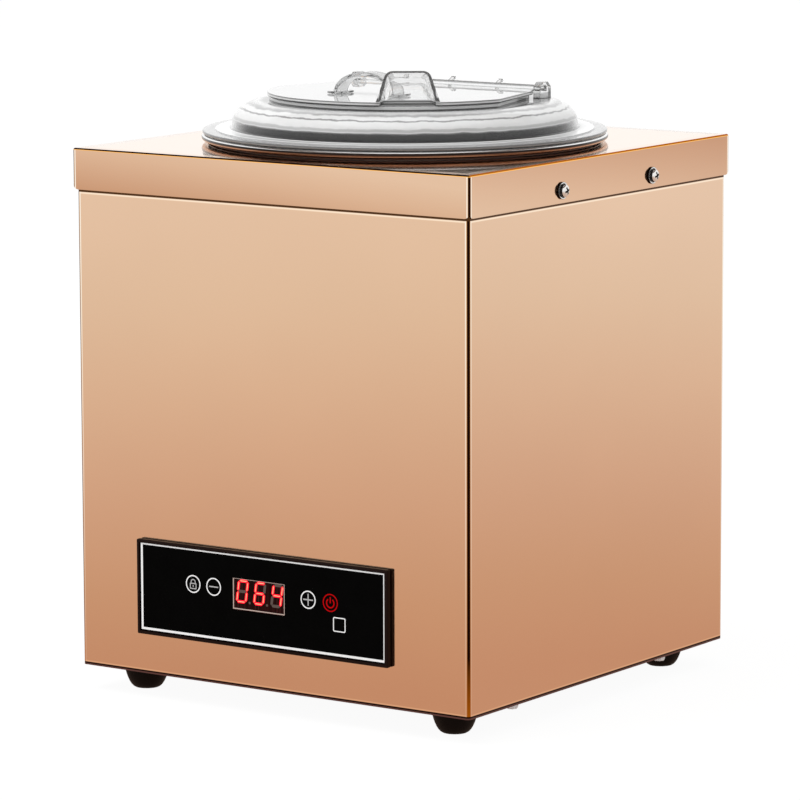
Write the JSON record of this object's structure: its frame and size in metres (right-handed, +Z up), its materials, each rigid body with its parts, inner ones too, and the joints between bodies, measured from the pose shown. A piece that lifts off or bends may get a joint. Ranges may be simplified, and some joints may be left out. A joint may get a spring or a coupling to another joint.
{
  "type": "soup kettle warmer",
  "caption": "Square sheet-metal soup warmer with a heated well, lift-out pot, clear domed lid with a hinged flap and ladle hood, and a front touch panel with a red digit display.",
  "frame": {"origin": "on the floor under the middle of the footprint, with the control panel in front and the cable gland behind counted in it", "axes": "+Z up, -Y the side with the control panel, +X to the right as one faces the panel"},
  "size_m": [0.288, 0.3022, 0.3743],
  "materials": {
    "rose_gold_steel": "mirror-polished stainless sheet with a rose-gold coating",
    "stainless_steel": "satin stainless, deep drawn",
    "zinc_plate": "zinc-plated steel, matt",
    "screw_steel": "bright plated",
    "clear_polycarbonate": "clear, moulded, glossy",
    "black_plastic": "fine matt moulding",
    "overlay_acrylic": "glossy black with printed white lines",
    "display_face": "dark tinted window of a red digit display",
    "sensor_foam": "conductive foam",
    "circuit_board": "green solder mask",
    "transformer_steel": "varnished laminations",
    "relay_case": "moulded case",
    "terminal_plastic": "cream moulding",
    "felt": "needled mineral felt",
    "cast_aluminium": "as cast",
    "element_sheath": "oxidised steel sheath",
    "wire_brown": "insulated wire",
    "wire_blue": "insulated wire",
    "wire_green": "insulated wire",
    "wire_white": "insulated wire",
    "wire_grey": "sheathed cable",
    "foot_rubber": "black moulded rubber"
  },
  "bodies": {
    "housing": {"base_plate": "zinc_plate", "base_screw_left_front": "screw_steel", "base_screw_left_rear": "screw_steel", "base_screw_right_front": "screw_steel", "base_screw_right_rear": "screw_steel", "cabinet_body": "rose_gold_steel", "clamp_nut": "zinc_plate", "control_board": "circuit_board", "cover_screw_left_front": "screw_steel", "cover_screw_left_rear": "screw_steel", "cover_screw_right_front": "screw_steel", "cover_screw_right_rear": "screw_steel", "cover_tray": "rose_gold_steel", "cover_washer_left_front": "screw_steel", "cover_washer_left_rear": "screw_steel", "cover_washer_right_front": "screw_steel", "cover_washer_right_rear": "screw_steel", "display_module": "display_face", "earth_lead": "wire_green", "earth_nut": "zinc_plate", "earth_stud": "zinc_plate", "foot_left_front": "foot_rubber", "foot_left_rear": "foot_rubber", "foot_right_front": "foot_rubber", "foot_right_rear": "foot_rubber", "foot_screw_left_front": "screw_steel", "foot_screw_left_rear": "screw_steel", "foot_screw_right_front": "screw_steel", "foot_screw_right_rear": "screw_steel", "gland_body": "black_plastic", "gland_locknut": "black_plastic", "gland_nut": "black_plastic", "heater_clamp": "zinc_plate", "heater_lead_live": "wire_brown", "heater_lead_neutral": "wire_blue", "heater_plate": "cast_aluminium", "heating_element": "element_sheath", "insulation_jacket": "felt", "panel_bezel": "black_plastic", "panel_cable": "wire_grey", "panel_overlay": "overlay_acrylic", "power_board": "circuit_board", "probe_clip": "zinc_plate", "relay": "relay_case", "sensor_lead": "wire_white", "temperature_probe": "stainless_steel", "terminal_block": "terminal_plastic", "thermal_cutout": "black_plastic", "touch_pad_lock": "sensor_foam", "touch_pad_minus": "sensor_foam", "touch_pad_plus": "sensor_foam", "touch_pad_power": "sensor_foam", "touch_pad_set": "sensor_foam", "transformer": "transformer_steel", "well_liner": "stainless_steel"},
    "pot": {"soup_pot": "stainless_steel"},
    "lid": {"lid_dome": "clear_polycarbonate"},
    "flap": {"lid_flap": "clear_polycarbonate", "flap_handle": "clear_polycarbonate"}
  },
  "joints": [
    {"name": "pot_slide", "type": "slide", "parent": "housing", "child": "pot", "axis": [0, 0, 1], "range_m": [0, 0.28]},
    {"name": "lid_slide", "type": "slide", "parent": "pot", "child": "lid", "axis": [0, 0, 1], "range_m": [0, 0.05]},
    {"name": "flap_hinge", "type": "hinge", "parent": "lid", "child": "flap", "pos_m": [0, 0.03835, 0.3548], "axis": [-1, 0, 0], "range_deg": [0, 105]}
  ]
}
